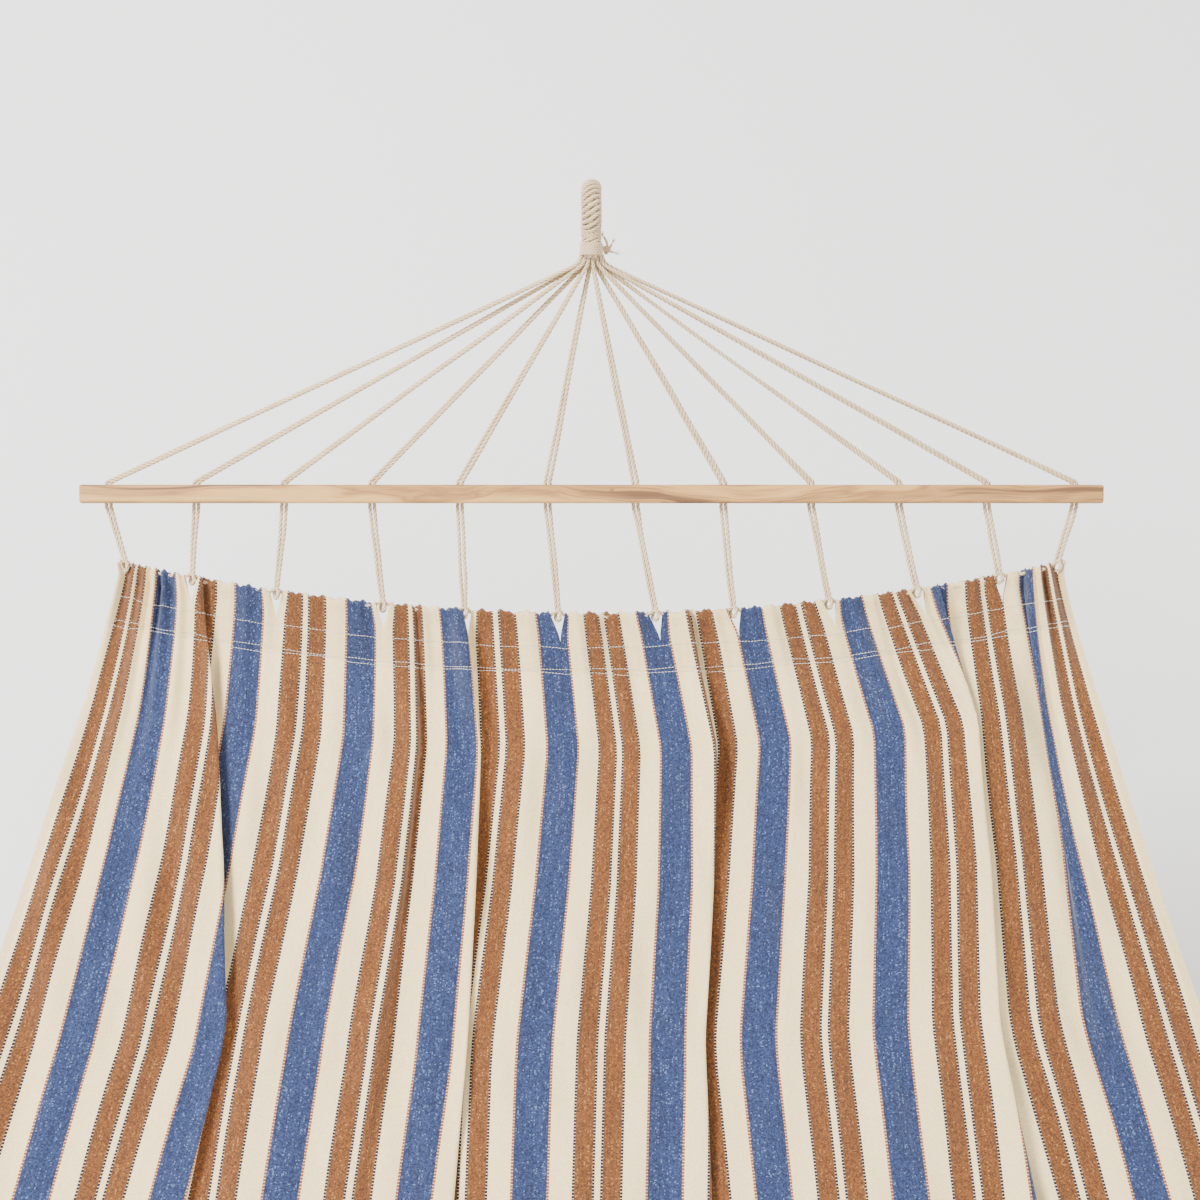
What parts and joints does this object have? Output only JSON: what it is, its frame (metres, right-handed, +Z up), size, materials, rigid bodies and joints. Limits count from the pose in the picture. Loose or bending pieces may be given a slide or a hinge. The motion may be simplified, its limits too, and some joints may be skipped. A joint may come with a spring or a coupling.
{
  "type": "spreader-bar hammock",
  "caption": "Hanging hammock: striped woven cotton bed between two wooden spreader bars, each slung by fanned doubled cotton cords from a whipped rope eye.",
  "frame": {"origin": "the point inside the head eye where the hook bears", "axes": "+X along the spreader bars, +Y from the foot eye towards the head eye (the longest extent), +Z up as the hammock hangs"},
  "size_m": [1.4898, 2.8528, 0.402],
  "materials": {
    "bar": "planed pale hardwood with darker wavy grain, oiled",
    "cord": "cream three-ply twisted cotton cord",
    "cloth": "plain-woven cotton, cream with blue and rust stripes"
  },
  "bodies": {
    "head_eye": {"head_eye_core": "cord", "head_eye_whipping": "cord", "head_neck_binding": "cord", "head_binding_knot": "cord"},
    "head_fan": {"head_upper_cord_01": "cord", "head_upper_cord_02": "cord", "head_upper_cord_03": "cord", "head_upper_cord_04": "cord", "head_upper_cord_05": "cord", "head_upper_cord_06": "cord", "head_upper_cord_07": "cord", "head_upper_cord_08": "cord", "head_upper_cord_09": "cord", "head_upper_cord_10": "cord", "head_upper_cord_11": "cord", "head_upper_cord_12": "cord"},
    "head_bar": {"head_bar": "bar", "head_bar_cords": "cord"},
    "bed": {"bed_cloth": "cloth", "head_lower_loops": "cord", "head_header_rope": "cord", "foot_lower_loops": "cord", "foot_header_rope": "cord"},
    "foot_bar": {"foot_bar": "bar", "foot_bar_cords": "cord"},
    "foot_fan": {"foot_upper_cord_01": "cord", "foot_upper_cord_02": "cord", "foot_upper_cord_03": "cord", "foot_upper_cord_04": "cord", "foot_upper_cord_05": "cord", "foot_upper_cord_06": "cord", "foot_upper_cord_07": "cord", "foot_upper_cord_08": "cord", "foot_upper_cord_09": "cord", "foot_upper_cord_10": "cord", "foot_upper_cord_11": "cord", "foot_upper_cord_12": "cord"},
    "foot_eye": {"foot_eye_core": "cord", "foot_eye_whipping": "cord", "foot_neck_binding": "cord", "foot_binding_knot": "cord"}
  },
  "joints": [
    {"name": "rock", "type": "hinge", "parent": "head_eye", "child": "head_fan", "pos_m": [0, -0.05456, -0.0315], "axis": [0, 1, 0], "range_deg": [-35, 35]},
    {"name": "head_fan_fold", "type": "hinge", "parent": "head_fan", "child": "head_bar", "pos_m": [0, -0.25981, -0.15], "axis": [-1, 0, 0], "range_deg": [0, 80]},
    {"name": "head_bed_fold", "type": "hinge", "parent": "head_bar", "child": "bed", "pos_m": [0, -0.28283, -0.16025], "axis": [-1, 0, 0], "range_deg": [0, 80]},
    {"name": "foot_bed_fold", "type": "hinge", "parent": "bed", "child": "foot_bar", "pos_m": [0, -2.52297, -0.16025], "axis": [-1, 0, 0], "range_deg": [0, 80]},
    {"name": "foot_fan_fold", "type": "hinge", "parent": "foot_bar", "child": "foot_fan", "pos_m": [0, -2.54599, -0.15], "axis": [-1, 0, 0], "range_deg": [0, 80]},
    {"name": "foot_eye_turn", "type": "hinge", "parent": "foot_fan", "child": "foot_eye", "pos_m": [0, -2.75124, -0.0315], "axis": [0, 1, 0], "range_deg": [-35, 35]}
  ],
  "couplings": [
    {"joint": "foot_eye_turn", "follows": "rock", "ratio": -1}
  ]
}
